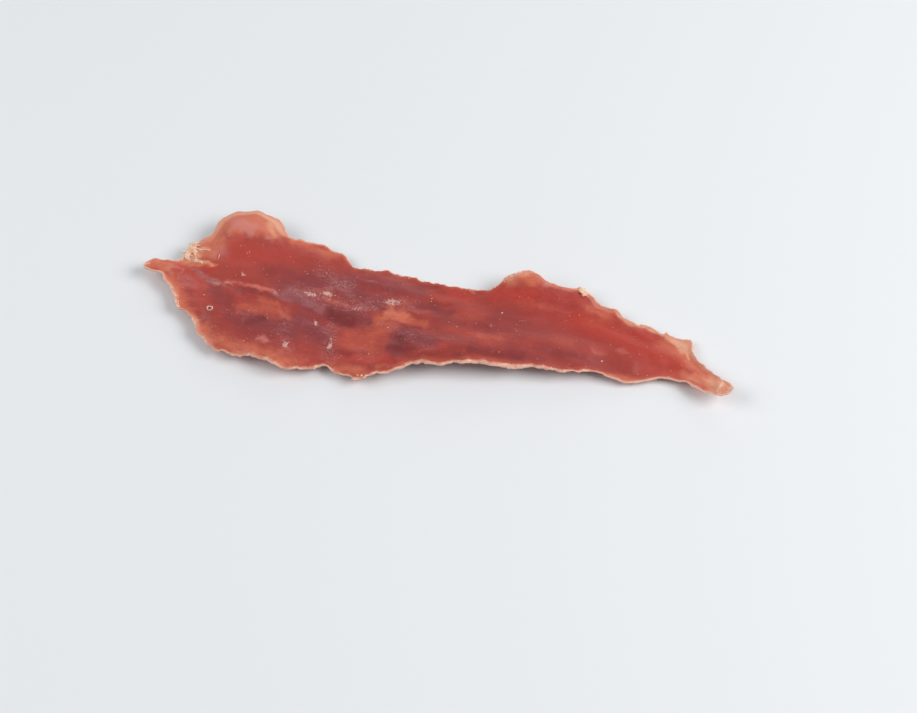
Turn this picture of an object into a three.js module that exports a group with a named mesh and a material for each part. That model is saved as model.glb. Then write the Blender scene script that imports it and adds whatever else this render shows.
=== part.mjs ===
// A strip of air-dried beef jerky, sliced along the grain: one thin, wavy slab of meat with torn edges.
// It has a narrow finger at its left end, a broad domed lobe beside it, a second lobe past the middle,
// and a long slanting edge that runs down to a point at its right end.
// Millimetres, +Z up. X runs along the grain, Y across it, and the strip lies on Z = 0.

import * as THREE from "three";

// Driving sizes
const THICK_MEAT = 3.2; // the slice through the lean middle
const THIN_MEAT = 1.9; // the slice where it runs out into lobes and ends
const THIN_RIM = 1.1; // the dried edge where it is thinnest
const BLUNT_RIM = 2; // the dried edge where it was cut square
const RIM_ROUNDING = 0.5; // how far in from the edge its round lip ends
const TAPER = 8; // how far in from the edge the full thickness is reached
const ARCH_HEIGHT = 1.4; // half the rise of the long waves that drying leaves along the strip
const ARCH_SPACING = 92; // from one crest of those waves to the next
const NEAR_CURL = 1.5; // how far the edge towards the viewer dries upwards
const FAR_CURL = 1.2; // how far the other long edge does
const REST_DEPTH = 0.9; // how far up the lowest meat is pressed flat where it lies
const REST_BLEND = 0.45; // how far above that the flat spots run out
const NICK_DEPTH = 0.35; // small irregularity of the torn edges

// Fineness of the mesh: rings along the strip, and lanes from edge to edge on each face
const RINGS = 124;
const LANES = 20;
const TRACE_STEPS = 24; // fine steps of the edge curve for each point it runs through

// The edge towards the viewer, from the finger's tip to the point: [x, y]
const NEAR_EDGE = [
  [-92.5, -1.2], // tip of the finger
  [-90.2, -2.5],
  [-86.1, -2.3], // root of the finger
  [-85, -3.8],
  [-81, -7.5],
  [-78.8, -11.7],
  [-72.2, -15.7],
  [-68.3, -20.7],
  [-62.3, -24.3], // left corner of the broad belly
  [-53.8, -24.8],
  [-46.8, -24.7],
  [-42.2, -26.4],
  [-34.8, -25.1],
  [-28.1, -21.7], // notch in the belly
  [-22, -23.5],
  [-15.4, -23.5],
  [-13.6, -21.2],
  [-9, -19.6],
  [-1, -14.8], // right corner of the belly
  [4, -15],
  [13, -12.3],
  [25.3, -10],
  [33.2, -7.3],
  [42.2, -6.7],
  [50.8, -3.8],
  [61, -4], // last low bump before the point
  [70, -0.2],
  [77.2, -0.1],
  [86.6, -3.4],
  [90.4, -3.2],
  [92.5, 0], // the point
];

// The edge away from the viewer, from the finger's tip to the point: [x, y]
const FAR_EDGE = [
  [-92.5, -1.2], // tip of the finger
  [-91.9, 1],
  [-89.5, 2.4],
  [-82.2, 3.8], // torn notch between the finger and the broad lobe
  [-81.5, 7.9],
  [-79.6, 10.8],
  [-75.7, 15.2],
  [-74.2, 20.3],
  [-71.9, 23.5],
  [-65.1, 26.4], // top of the broad lobe
  [-58.4, 26],
  [-54.2, 23.6],
  [-52, 20.6],
  [-43.5, 21.8],
  [-33.7, 19.5],
  [-28.9, 16.4],
  [-20.5, 18.2],
  [-2.7, 17.2],
  [7, 16.8],
  [13.8, 17.3],
  [17.8, 21.5],
  [23.6, 25], // top of the second lobe
  [30, 23.5],
  [37, 23.8],
  [41.4, 25.6], // corner where the slanting edge begins
  [45.9, 22.3],
  [51.1, 19.8],
  [59.9, 16.7],
  [64.1, 17.8],
  [68.1, 16.7],
  [76, 16], // corner above the point
  [78, 14.1],
  [79.2, 11],
  [82.2, 7.1],
  [83.6, 5.3],
  [87.6, 3],
  [92.5, 0], // the point
];

// Swells of the whole slice over what it lies on: where, how high, and how far they reach in X and in Y
const SWELLS = [
  { x: -65, y: 17, rise: 4.6, reachX: 13, reachY: 11 }, // dome of the broad lobe
  { x: -90, y: 0, rise: 2.8, reachX: 10, reachY: 8 }, // the finger lifts off
  { x: -42, y: -27, rise: 2.4, reachX: 12, reachY: 9 }, // the belly's ruffled edge
  { x: -15, y: -24, rise: 1.6, reachX: 8, reachY: 8 },
  { x: 8, y: -12, rise: 3.8, reachX: 22, reachY: 11 }, // the hollow under the middle
  { x: 44, y: -6, rise: 1.6, reachX: 12, reachY: 8 },
  { x: 24, y: 24, rise: 3.6, reachX: 12, reachY: 9 }, // dome of the second lobe
  { x: 58, y: 19, rise: 1.4, reachX: 10, reachY: 6 },
  { x: 92, y: 0, rise: 4.4, reachX: 15, reachY: 12 }, // the point lifts off
  { x: -30, y: 16, rise: 1.6, reachX: 10, reachY: 7 },
];

// Places where the slice is thin
const THIN_PLACES = [
  { x: -65, y: 24, reachX: 14, reachY: 11 },
  { x: -90, y: 0, reachX: 9, reachY: 9 },
  { x: 24, y: 27, reachX: 14, reachY: 8 },
  { x: 70, y: 15, reachX: 12, reachY: 6 },
  { x: 90, y: 0, reachX: 14, reachY: 10 },
];

// Stretches of edge that were cut square, not torn thin
const BLUNT_PLACES = [
  { x: 12, y: -12, reachX: 34, reachY: 12 },
  { x: 60, y: 18, reachX: 16, reachY: 8 },
  { x: -40, y: -25, reachX: 14, reachY: 8 },
];

// Muscle seams stand up from the top as low welts: two ends, sideways bend, height and half width
const SEAMS = [
  { from: [-86, 1.5], to: [-48, -1], bend: -2.6, height: 1, halfWidth: 2.2 },
  { from: [-56, 0], to: [-22, 3.5], bend: 0.6, height: 0.6, halfWidth: 2.6 },
  { from: [-20, 3], to: [34, 9], bend: -2, height: 0.5, halfWidth: 3 },
  { from: [16, 0], to: [72, 5], bend: 1.5, height: 0.5, halfWidth: 2.6 },
  { from: [-8, -7], to: [40, 2], bend: -1, height: 0.4, halfWidth: 2.2 },
];

// The torn pocket at the notch: a shallow cup with a raised lip
const POCKET = { x: -75, y: 6.5, radiusX: 6.5, radiusY: 5, depth: 0.8 };

const smooth = (t) => THREE.MathUtils.smoothstep(t, 0, 1);

// How much of a place's own strength is felt at (x, y): 1 at its middle, fading to nothing
function felt(place, x, y) {
  const along = (x - place.x) / place.reachX;
  const across = (y - place.y) / place.reachY;
  return Math.exp(-(along * along + across * across));
}

const feltAtMost = (places, x, y) => Math.min(1, places.reduce((sum, p) => sum + felt(p, x, y), 0));

// The edge as a fine trace of [x, y]: a smooth curve through the points, with small nicks added
function traceEdge(points, phase) {
  const curve = new THREE.CatmullRomCurve3(
    points.map(([x, y]) => new THREE.Vector3(x, y, 0)),
    false,
    "centripetal",
  );
  const [left, right] = [points[0][0], points[points.length - 1][0]];
  return curve.getPoints(points.length * TRACE_STEPS).map(({ x, y }) => {
    const nick = Math.sin(1.17 * x + phase) * Math.sin(0.31 * x + 2 * phase) + 0.6 * Math.sin(0.83 * x - phase);
    return [x, y + NICK_DEPTH * nick * smooth(Math.min(x - left, right - x) / 8)];
  });
}

const nearTrace = traceEdge(NEAR_EDGE, 0.4);
const farTrace = traceEdge(FAR_EDGE, 1.9);

// The edge's y at a given x
function edgeAt(trace, x) {
  const next = Math.max(1, trace.findIndex((point) => point[0] >= x - 1e-9));
  const [a, b] = [trace[next - 1], trace[next]];
  return THREE.MathUtils.mapLinear(x, a[0], b[0], a[1], b[1]);
}

// How far (x, y) lies in from the nearest edge
function distanceToEdge(x, y) {
  let least = Infinity;
  for (const trace of [nearTrace, farTrace]) {
    for (const [edgeX, edgeY] of trace) least = Math.min(least, (edgeX - x) ** 2 + (edgeY - y) ** 2);
  }
  return Math.sqrt(least);
}

// Where the rings stand along X: evenly along the two edges, so that steep stretches of edge get more
function ringPlaces() {
  const [left, right] = [NEAR_EDGE[0][0], NEAR_EDGE[NEAR_EDGE.length - 1][0]];
  const steps = 4000;
  const travelled = [0];
  let [near, far] = [edgeAt(nearTrace, left), edgeAt(farTrace, left)];
  for (let i = 1; i <= steps; i++) {
    const x = left + ((right - left) * i) / steps;
    const [nextNear, nextFar] = [edgeAt(nearTrace, x), edgeAt(farTrace, x)];
    const stride = (right - left) / steps;
    travelled.push(travelled[i - 1] + Math.hypot(stride, nextNear - near) + Math.hypot(stride, nextFar - far));
    [near, far] = [nextNear, nextFar];
  }
  return Array.from({ length: RINGS + 1 }, (_, ring) => {
    const wanted = (travelled[steps] * ring) / RINGS;
    return left + ((right - left) * travelled.findIndex((t) => t >= wanted - 1e-9)) / steps;
  });
}

// Height of the underside, before the lowest meat is pressed flat. "across" runs from -1 to 1.
function hangingHeight(x, y, across) {
  const arch = ARCH_HEIGHT * Math.sin((2 * Math.PI * (x - 2)) / ARCH_SPACING);
  const twist = 0.5 * Math.sin(x / 13) * across;
  const curl = (across < 0 ? NEAR_CURL : FAR_CURL) * Math.abs(across) ** 3;
  return arch + twist + curl + SWELLS.reduce((sum, swell) => sum + swell.rise * felt(swell, x, y), 0);
}

// The lowest point of the underside before it is pressed flat
function lowestHanging(places) {
  let least = Infinity;
  for (const x of places) {
    const [near, far] = [edgeAt(nearTrace, x), edgeAt(farTrace, x)];
    for (let lane = 0; lane <= LANES; lane++) {
      const y = THREE.MathUtils.lerp(near, far, lane / LANES);
      least = Math.min(least, hangingHeight(x, y, (2 * lane) / LANES - 1));
    }
  }
  return least;
}

const places = ringPlaces();
const lowest = lowestHanging(places);

// Height of the underside as it lies: flat on Z = 0 where it is pressed down, with a soft start
function lyingHeight(x, y, across) {
  const height = hangingHeight(x, y, across) - lowest - REST_DEPTH;
  if (height <= -REST_BLEND) return 0;
  if (height >= REST_BLEND) return height;
  return (height + REST_BLEND) ** 2 / (4 * REST_BLEND);
}

// Thickness of the slice, by the place and by the distance in from the edge
function thicknessAt(x, y, inward, halfWidth) {
  const core = THREE.MathUtils.lerp(THICK_MEAT, THIN_MEAT, feltAtMost(THIN_PLACES, x, y));
  const rim = THREE.MathUtils.lerp(THIN_RIM, BLUNT_RIM, feltAtMost(BLUNT_PLACES, x, y));
  return THREE.MathUtils.lerp(rim, core, smooth(inward / Math.min(TAPER, halfWidth)));
}

// Height of one seam's welt at (x, y)
function weltHeight(seam, x, y) {
  const [x0, y0] = seam.from;
  const [x1, y1] = seam.to;
  const share = (x - x0) / (x1 - x0);
  if (share <= 0 || share >= 1) return 0;
  const middle = y0 + (y1 - y0) * share + seam.bend * Math.sin(Math.PI * share);
  const off = (y - middle) / seam.halfWidth;
  return seam.height * Math.sin(Math.PI * share) ** 0.6 * Math.exp(-off * off);
}

// Relief of the top: seams, bundles of fibre, and the pocket at the notch
function reliefAt(x, y, inward) {
  const welts = SEAMS.reduce((sum, seam) => sum + weltHeight(seam, x, y), 0);
  const bundles = 0.22 * Math.sin(0.85 * y + 0.06 * x + Math.sin(x / 11)) * Math.cos(x / 17);
  const off = Math.hypot((x - POCKET.x) / POCKET.radiusX, (y - POCKET.y) / POCKET.radiusY);
  const cup = -Math.exp(-((off * 1.3) ** 2));
  const lip = 0.4 * Math.exp(-(((off - 1.2) / 0.5) ** 2));
  return (welts + bundles + POCKET.depth * (cup + lip)) * smooth(inward / 3.5);
}

// Lanes of a ring run from the near edge to the far edge. Its first and last steps are the round lip.
function laneShare(lane, width) {
  const lip = Math.min(RIM_ROUNDING / width, 0.16);
  if (lane === 0 || lane === LANES) return lane / LANES;
  return lip + ((1 - 2 * lip) * (lane - 1)) / (LANES - 2);
}

// One vertex of the slice: column 0 is on the near edge and column LANES on the far edge. Columns
// between them are on the top, and columns past them come back along the underside.
function vertexAt(x, column) {
  const [near, far] = [edgeAt(nearTrace, x), edgeAt(farTrace, x)];
  const width = Math.max(far - near, 1e-4);
  const lane = column <= LANES ? column : 2 * LANES - column;
  const share = laneShare(lane, width);
  const y = near + width * share;
  const inward = lane === 0 || lane === LANES ? 0 : distanceToEdge(x, y);
  const thickness = thicknessAt(x, y, inward, Math.max(width / 2, 1));
  const lip = Math.sqrt(1 - (1 - Math.min(inward / RIM_ROUNDING, 1)) ** 2);
  const middle = lyingHeight(x, y, 2 * share - 1) + thickness / 2;
  if (column > LANES) return new THREE.Vector3(x, y, middle - (lip * thickness) / 2);
  return new THREE.Vector3(x, y, middle + (lip * thickness) / 2 + reliefAt(x, y, inward));
}

// A sphere's rings become the strip's cross-sections, with its poles at the finger's tip and the point.
function stripGeometry() {
  const geometry = new THREE.SphereGeometry(1, 2 * LANES, RINGS);
  const position = geometry.getAttribute("position");
  for (let ring = 0; ring <= RINGS; ring++) {
    const atPole = ring === 0 || ring === RINGS;
    for (let column = 0; column <= 2 * LANES; column++) {
      const vertex = vertexAt(places[ring], atPole ? 0 : column % (2 * LANES));
      position.setXYZ(ring * (2 * LANES + 1) + column, vertex.x, vertex.y, vertex.z);
    }
  }
  geometry.deleteAttribute("normal");
  geometry.deleteAttribute("uv");
  geometry.computeBoundingBox();
  const { min, max } = geometry.boundingBox;
  geometry.translate(-(min.x + max.x) / 2, -(min.y + max.y) / 2, -min.z);
  geometry.computeVertexNormals();
  return geometry;
}

const driedMeat = new THREE.MeshStandardMaterial({ color: 0xa84a42, roughness: 0.45, metalness: 0 });

const strip = new THREE.Mesh(stripGeometry(), driedMeat);
strip.name = "strip";

const jerky = new THREE.Group();
jerky.add(strip);

export default jerky;
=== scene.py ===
# A strip of air-dried beef jerky lying on a pale table, shown as in a product photograph.
import math

import bmesh
import bpy
import numpy as np
from mathutils import Euler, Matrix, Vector, noise
from mathutils.bvhtree import BVHTree
from mathutils.kdtree import KDTree


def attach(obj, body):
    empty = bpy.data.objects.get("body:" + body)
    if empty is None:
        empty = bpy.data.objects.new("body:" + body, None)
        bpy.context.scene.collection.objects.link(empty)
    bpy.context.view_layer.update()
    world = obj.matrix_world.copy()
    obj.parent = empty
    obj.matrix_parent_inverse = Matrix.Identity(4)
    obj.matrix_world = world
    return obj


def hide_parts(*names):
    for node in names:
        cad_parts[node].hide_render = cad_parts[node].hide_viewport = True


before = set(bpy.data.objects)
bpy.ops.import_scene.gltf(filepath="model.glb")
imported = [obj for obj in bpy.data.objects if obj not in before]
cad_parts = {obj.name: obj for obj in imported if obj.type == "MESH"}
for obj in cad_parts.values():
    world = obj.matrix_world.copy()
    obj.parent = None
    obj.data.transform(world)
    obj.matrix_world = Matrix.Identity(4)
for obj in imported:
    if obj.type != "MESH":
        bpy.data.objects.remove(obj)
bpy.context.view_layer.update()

# The slab of meat: one slice of lean muscle, cut along the grain and air-dried until it is leathery.
# It is the solid of the strip with its faces rounded, so it has the same outline, waves and rest spots.

MM = 0.001  # one millimetre, in metres


def in_scene(name, data):
    """A new object in the scene, of this mesh, light or camera."""
    made = bpy.data.objects.new(name, data)
    bpy.context.scene.collection.objects.link(made)
    return made


def rounded_slab(node, levels):
    """The node's solid as one smooth skin of quads."""
    shape = bmesh.new()
    shape.from_mesh(node.data)
    bmesh.ops.remove_doubles(shape, verts=shape.verts, dist=0.001 * MM)
    bmesh.ops.join_triangles(
        shape, faces=shape.faces, angle_face_threshold=math.pi, angle_shape_threshold=math.pi
    )
    mesh = bpy.data.meshes.new("meat")
    shape.to_mesh(mesh)
    shape.free()
    slab = in_scene("meat", mesh)
    smoothing = slab.modifiers.new("rounding", "SUBSURF")
    smoothing.levels = smoothing.render_levels = levels
    return slab


def made_plain(piece):
    """The piece with its modifiers worked into its mesh."""
    evaluated = piece.evaluated_get(bpy.context.evaluated_depsgraph_get())
    mesh = bpy.data.meshes.new_from_object(evaluated)
    piece.modifiers.clear()
    piece.data = mesh
    mesh.shade_smooth()
    return piece


meat = made_plain(rounded_slab(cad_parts["strip"], levels=2))


# What the meat is like from place to place, with painted sheen, glints, shade and light laid in among the
# kinds.
# Each kind is a set of strokes laid over the strip, mostly along its fibres: [x, y, x, y, half width, half
# width, strength], in millimetres.

MEAT_KINDS = {
    "coral": [  # soft pink-red meat, and painted light along the seam ridge and in shaded hollows near the far rim and the point
        [-83, 1.6, -76, 1.2, 1.8, 1.6, 1.0],
        [-81, -2, -73, -4.5, 2.8, 2.6, 1.0],
        [-80.6, -5, -76, -10, 1.6, 1.8, 0.9],
        [-78, -8, -71, -9, 2.6, 3, 0.6],
        [-72, 7, -58, 6, 3, 2.6, 0.7],
        [-72, 12, -66, 13, 2, 1.6, 0.7],
        [-24, -11, -17, -15, 4, 3, 0.7],
        [-26, -16, -13, -16, 3, 2.4, 0.7],
        [-70, 7, -58, 8, 3, 3, 0.5],
        [5, -2, 22, -2.5, 2.6, 2.6, 0.4],
        [2, 6, 14, 7, 2.4, 2.4, 0.4],
        [30, 9, 48, 3, 4, 4, 0.5],
        [48, 12, 66, 7, 4, 4, 0.55],
        # painted light: lighter paint in the shaded groove inside the far rim
        [48, 18.4, 64, 14.4, 1.8, 1.8, 0.9],
        [28, 13, 33, 14, 1.4, 1.2, 0.5],
        [66, 2, 84, 1, 3.2, 3.2, 0.7],
        [68, 8.6, 80, 6, 2.8, 2.6, 0.9],
        # painted light: lighter paint in the shaded hollow near the point
        [74, 3.6, 82, 1.8, 2.4, 2.2, 1.0],
        # the seam ridge: partly its own colour, partly a painted highlight along its crest
        [-65.6, -0.8, -59, -1.1, 0.3, 0.5, 0.7],
        [-59, -1.1, -54.4, -1.1, 0.5, 0.8, 1.1],
        [-54.4, -1.1, -49.4, -0.9, 0.8, 0.3, 1.0],
    ],
    "lean": [  # purple-brown muscle in the middle of the slice, and a painted shadow line under the seam ridge
        [-42, 6, -30, 9, 4, 4, 0.9],
        [-48, 3, -36, -1, 3.5, 3, 0.8],
        [-57, 6, -47, 6.5, 2.4, 3, 0.55],
        [-37, -2, -20, -2.5, 3.5, 2.5, 1.0],
        [-28, 6, -18, 4, 4, 3, 0.9],
        [-56, -13, -42, -12, 3.5, 4, 0.95],
        [-67, -5, -61, -12, 2.6, 2.6, 0.55],
        # painted shadow line under the seam ridge
        [-60, -3, -50, -2.6, 0.8, 0.6, 0.6],
        [-40, -8, -31, -12, 3.5, 3.5, 0.9],
        [-25, 11, -8, 12, 3.5, 3.5, 0.7],
        [-9.4, -6.2, -7.8, -12, 2.2, 2.4, 1.15],
        [-7, -5, 2, -7, 2.5, 2.2, 1.0],
        [0, 3, 9, 2, 2.5, 2, 0.5],
        [-6, 6.6, 4, 5, 2.2, 2, 0.75],
        [4, -4, 14, -5, 2, 2, 0.45],
        [18, 7, 34, 6, 3.4, 3.4, 0.5],
        [13, 3, 27, 2.5, 2, 2.4, 0.5],
        [22, -3, 35, -5, 2.6, 2.8, 0.5],
        [33, 8.6, 46, 5, 3, 3, 0.5],
        [44, 8, 56, 7, 2.6, 3, 0.45],
        [36, 0, 50, 0.4, 3, 2.8, 0.5],
        [22, 10.6, 31, 10, 1.4, 1.4, 0.5],
        [-51, 9, -44, 5, 2.5, 2.5, 0.7],
    ],
    "grey_skin_and_sheen": [  # partly dull grey skin over the muscle, partly a painted grey sheen on it
        [-47, 1, -36, -2, 2.2, 1.8, 0.9],
        [-50.4, -1, -40, -1.4, 0.9, 1.1, 1.1],
        [-66, -3.2, -60, -3.4, 0.8, 0.7, 0.6],
        [-45, -7.5, -32, -9, 2, 2, 0.55],
        [-33, 8.5, -28, 5.5, 2.2, 2.2, 0.6],
        [-27, 0.5, -19, 2, 1.2, 1, 0.7],
        [-77, 0.4, -73, -0.8, 0.7, 0.7, 0.7],
        [-73, -0.8, -67.4, -2.7, 0.6, 0.6, 1.1],
        [-9, -5.4, -5, -6, 1.2, 1, 0.5],
        [-3, -3.4, 1, -5, 1, 1, 0.5],
        [17, 3.6, 25, 3.8, 2, 2, 0.3],
        [-17, 9, -12, 8, 1.8, 1.8, 0.4],
    ],
    "maroon": [  # dark meat where it is thick, and painted shade in folds, hollows and under the seam ridge
        # painted shade in the hollow in the middle
        [-31, -3.4, -25, -5, 2.4, 1.8, 1.0],
        [-44, -1.6, -38, -3.4, 1.6, 1.2, 0.5],
        # painted shadow under the seam ridge
        [-60, -2.3, -50, -2.2, 0.4, 0.4, 0.5],
        [-54, -12, -50, -10.6, 1.8, 1.6, 0.8],
        [-10, -6.8, -5.5, -8.6, 1.6, 1.8, 0.75],
        [-10, -2, -2, -3, 0.5, 0.4, 0.7],
        [-9.6, -11.6, -3, -10.4, 2, 1.8, 0.75],
        # painted shade along the short wrinkle in the belly, in these two strokes
        [-29, -15, -17, -15, 1.6, 1.3, 0.6],
        [-28.4, -17, -22, -16, 1.6, 1.3, 0.8],
        [-3, 8, 3, 9, 1.3, 1.3, 0.5],
        [-4, 6, 4, 5, 2.4, 2, 0.4],
        [29, 17, 40, 18.4, 2.6, 2.4, 0.6],
        [29, 12, 35, 13, 2, 2, 0.4],
        [54, 2, 64, 3, 3.4, 3, 0.3],
        [42, 9, 56, 8.4, 3, 3, 0.3],
        [-63, -6, -60, -13, 1.8, 1.8, 0.4],
        [33, 12, 38, 13, 1.4, 1.2, 0.35],
        [7, -8.5, 18, -7, 1.4, 1.4, 0.5],
        [-6, -15, 3, -12, 1, 1, 0.4],
        [14, -7.4, 28, -5.8, 2, 2, 0.8],
        [38, -1.4, 44, -0.4, 1.6, 1.6, 0.5],
        [-3, -13, 12, -10, 1.5, 1.5, 0.8],
        [-14.6, -18.6, -8, -16.2, 1.5, 1.2, 0.6],
        [-31.6, 3, -29, 2, 1.4, 1.4, 0.5],
    ],
    "scarlet": [  # bright red meat near the edges
        [-76.5, 3, -69.5, 2.6, 0.7, 0.9, 1.0],
        [-80.6, -2.4, -75.4, -4.4, 2.6, 2.4, 1.1],
        [-70, 8, -50, 12, 4, 3.6, 0.7],
        [-61.4, 15.8, -59.4, 16.2, 0.8, 0.6, 1.1],
        [-55, 17, -36, 16, 2.2, 2.2, 0.55],
        [2, 13.5, 9, 13, 2.4, 2.2, 0.95],
        [-3, 10.5, 2, 11, 1.2, 1.2, 0.7],
        [-12, -17, -4, -14, 1.6, 1.2, 0.6],
        [-2, -12, 8, -11, 1.6, 1.6, 0.5],
        [17, 15.4, 27, 17, 3.2, 3, 1.0],
        [28, 16.8, 42, 19.6, 3, 2.6, 0.5],
        [44, 13, 66, 10, 4, 3.6, 0.75],
        [66, 9, 76, 5, 3, 2.4, 0.55],
        [-26, -18, -14, -17, 1.6, 1.6, 0.5],
    ],
    "glow": [  # redder meat that some light shines through, towards the point
        [30, 15, 50, 10, 6, 6, 1.0],
        [50, 10, 73, 8, 6.5, 5, 1.0],
    ],
    "amber": [  # thin translucent windows between the muscles
        [-53.4, -4, -48.8, -4.6, 1.7, 1.8, 0.85],
        [-59, -8.2, -48, -7, 1.3, 2, 0.7],
        [-44.5, -5, -43.5, -9, 0.7, 0.6, 0.6],
        [-16.5, -1.2, -13.6, 2.6, 2, 1.5, 1.15],
        [-14, 0.2, -9, 0.6, 2.2, 1.6, 1.15],
        [-9, 0.4, -2.5, -0.6, 1.5, 1.2, 1.0],
        [-13.6, -3, -17, -7, 2.6, 3, 0.7],
        [-17, -7, -24, -9.8, 2.8, 2.2, 0.5],
        [-15, -12, -24, -12.5, 2.4, 2, 0.6],
        [15.6, -1.2, 21, -0.8, 1.6, 1.6, 0.7],
        [37.5, 3, 42, 3.6, 1.8, 1.8, 0.45],
        [45, 13, 48.5, 13.5, 1.6, 1.5, 0.4],
        [6, 5, 14, 5.5, 1.4, 1.3, 0.4],
        [24, 13.5, 31, 14, 1.2, 1.1, 0.35],
        [-3, 4.5, -8, 4, 0.9, 0.9, 0.5],
        [19.5, 20, 27, 21.4, 2, 2, 1.0],
        [67, 11.6, 76, 9.6, 2, 2.8, 0.75],
    ],
    "peach": [  # pale orange meat where the slice runs out thin, and painted light along the seam ridge and in the shaded hollow near the point
        [-69.5, 20.4, -58.5, 22, 5, 4.4, 1.25],
        [-71, 16.6, -66.5, 15.6, 1.8, 1.4, 1.0],
        [-75.5, 13, -72.5, 20, 3.2, 3, 1.2],
        [-78, 10.5, -72.4, 11.4, 2.8, 3, 1.15],
        [-77.5, 8, -73, 7.4, 2.4, 2, 1.1],
        [-82, 3.4, -76, 3.4, 0.9, 0.7, 1.0],
        [-76, 3.4, -71, 3.8, 0.8, 0.5, 1.1],
        # the seam ridge: partly its own colour, partly a painted highlight along its crest
        [-59, -1.1, -54.4, -1.1, 0.4, 0.65, 0.35],
        [-54.4, -1.1, -49.4, -0.9, 0.65, 0.3, 0.3],
        [20, 21.5, 27, 22.5, 1.8, 1.5, 0.65],
        [-14.4, 1.4, -10, 1.4, 1.6, 1.2, 0.9],
        [-47, -5.8, -44, -8.6, 0.9, 0.9, 0.55],
        [-92, 0, -85, 0.5, 3, 2, 1.1],
        [-83, -4, -77, -11, 2.1, 2, 0.85],
        [-75, -14, -69, -19, 2.2, 2.6, 0.9],
        [-68, -20, -60, -22, 2.2, 2.4, 0.7],
        [-60, -22, -38, -24, 2.4, 2.6, 0.65],
        [-38, -23, -34, -21, 1.6, 1, 0.4],
        [-24, -21.4, -16, -21, 1.6, 1.8, 0.6],
        [-12, -18.6, -6, -16.2, 0.8, 0.7, 0.4],
        [-50, 19.5, -37, 18.5, 2, 1.8, 0.7],
        [45, 18, 51, 16.5, 1.4, 1.2, 0.5],
        [70, 13.4, 79, 8, 1.8, 1.8, 0.6],
        [78, 8.6, 82.4, 5, 2, 2, 0.8],
        [83, 3.6, 88, 0, 2, 3.2, 1.0],
        # painted light: lighter paint in the shaded hollow near the point, in these two strokes
        [77.5, 3, 85, 0.8, 1.6, 2.4, 0.85],
        [80.5, 2.4, 83.5, 1.4, 1.6, 2, 1.1],
        [54, -3.8, 62, -3, 1, 1.5, 0.55],
        [61, -2.6, 80, -2.4, 1.4, 1.4, 0.45],
    ],
    "rose": [  # pale pink skin, and painted sheen: a highlight on the crest of the broad lobe and along the seam ridge
        # painted highlight on the crest of the broad lobe
        [-67, 18.2, -62.4, 17, 2.1, 2, 1.25],
        # painted highlight along the seam ridge, in these three strokes
        [-73.4, -1.2, -68, -2.8, 0.3, 0.4, 0.55],
        [-66, -1.6, -60, -1.2, 0.5, 0.5, 0.6],
        [-58.6, -1.2, -50, -1, 0.55, 0.5, 0.6],
        [49.6, 4, 52, 3, 1.2, 1.1, 0.42],
        [56.5, 6, 58.5, 6, 1.1, 1.1, 0.4],
        [-49.6, -17.6, -47.8, -18, 1, 0.9, 0.8],
        [-84, 0.5, -80, -0.5, 1, 0.9, 0.6],
        [-35, 1.6, -28, 1.4, 1, 0.8, 0.5],
        [-38, 4.4, -34, 6, 1.6, 1.4, 0.4],
        [30, 13, 40, 15, 0.9, 0.9, 0.3],
        [-21, 12, -24, 11.5, 0.5, 0.5, 0.5],
        [5, 16, 9, 15.8, 0.8, 0.6, 0.7],
        [-15.6, 1.6, -12.4, 2.2, 0.8, 0.7, 0.5],
        [-12, -0.6, -8, -0.2, 0.8, 0.7, 0.45],
    ],
    "ivory": [  # thin dry meat, nearly white, that light shines through
        [-58, 21.6, -56, 18.6, 1.8, 1.2, 0.7],
        [-81.4, 9, -78.6, 6.6, 1.9, 1.6, 1.2],
        [-78.4, 8.8, -73.8, 8.6, 0.6, 0.35, 0.9],
        [-81.5, 4.6, -76, 4.1, 0.8, 0.6, 1.0],
        [-76, 4.1, -71.6, 3.9, 0.6, 0.4, 0.8],
        [-92, 0.4, -89, 0.5, 1.3, 1, 0.6],
        [71, 15, 76.4, 13.4, 0.8, 2.2, 1.3],
        [76.6, 13.4, 78.6, 9.6, 1.2, 0.7, 1.0],
        [88.2, 1.6, 87.4, -1.4, 1.2, 1.2, 1.1],
        [87.6, 0.6, 93, 0, 3, 2.4, 1.3],
        # painted light: lighter paint in the shaded hollow near the point
        [80, 2.4, 84, 1.2, 1.5, 1.9, 0.5],
    ],
    "salt_crust_and_glint": [  # crusts of dried salt and fat in the skin, and painted white glints on the seam ridge
        [-41.2, 1.6, -37.8, 2.1, 0.5, 0.5, 0.8],
        [-35.6, 3, -33.8, 3.4, 0.5, 0.5, 0.8],
        [-15.4, 5, -12.6, 6, 0.8, 0.8, 0.5],
        [-35.3, -7.2, -34.5, -8.2, 0.3, 0.3, 0.7],
        [-28.9, -11.4, -28.4, -14.4, 0.4, 0.6, 0.6],
        [-41.8, -16.8, -41.1, -19, 0.5, 0.7, 0.6],
        [-26, 0.4, -21.6, 1.7, 0.7, 0.6, 0.4],
        [-61.4, 2.6, -60.8, 2, 0.4, 0.4, 0.8],
        [-62.2, 9.3, -61.2, 9.2, 0.25, 0.25, 0.8],
        # painted white glints on the seam ridge, in these two strokes
        [-69, -2.4, -67.4, -2.8, 0.3, 0.25, 0.6],
        [-64.6, -1.4, -63.2, -2, 0.6, 0.4, 0.5],
        [87.8, 3, 88.5, 0.6, 0.4, 0.4, 0.9],
        [88.5, 0.6, 87.4, -2.6, 0.4, 0.4, 0.8],
    ],
    "dust": [  # skin with fine salt dust and crinkles; over the purple meat their pale lines also paint a misty sheen
        [-38, 11, -29, 7, 3, 3, 1.0],
        [-42, 2, -22, 1.5, 4, 3, 0.9],
        [-30, -8, -27.6, -18, 2.2, 3, 0.9],
        [-44, -13, -40, -20, 3, 2.6, 0.8],
        [-20, 4, -8, 5, 4, 3, 0.8],
        [-14, -3, 2, -8, 3, 3, 0.6],
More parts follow.
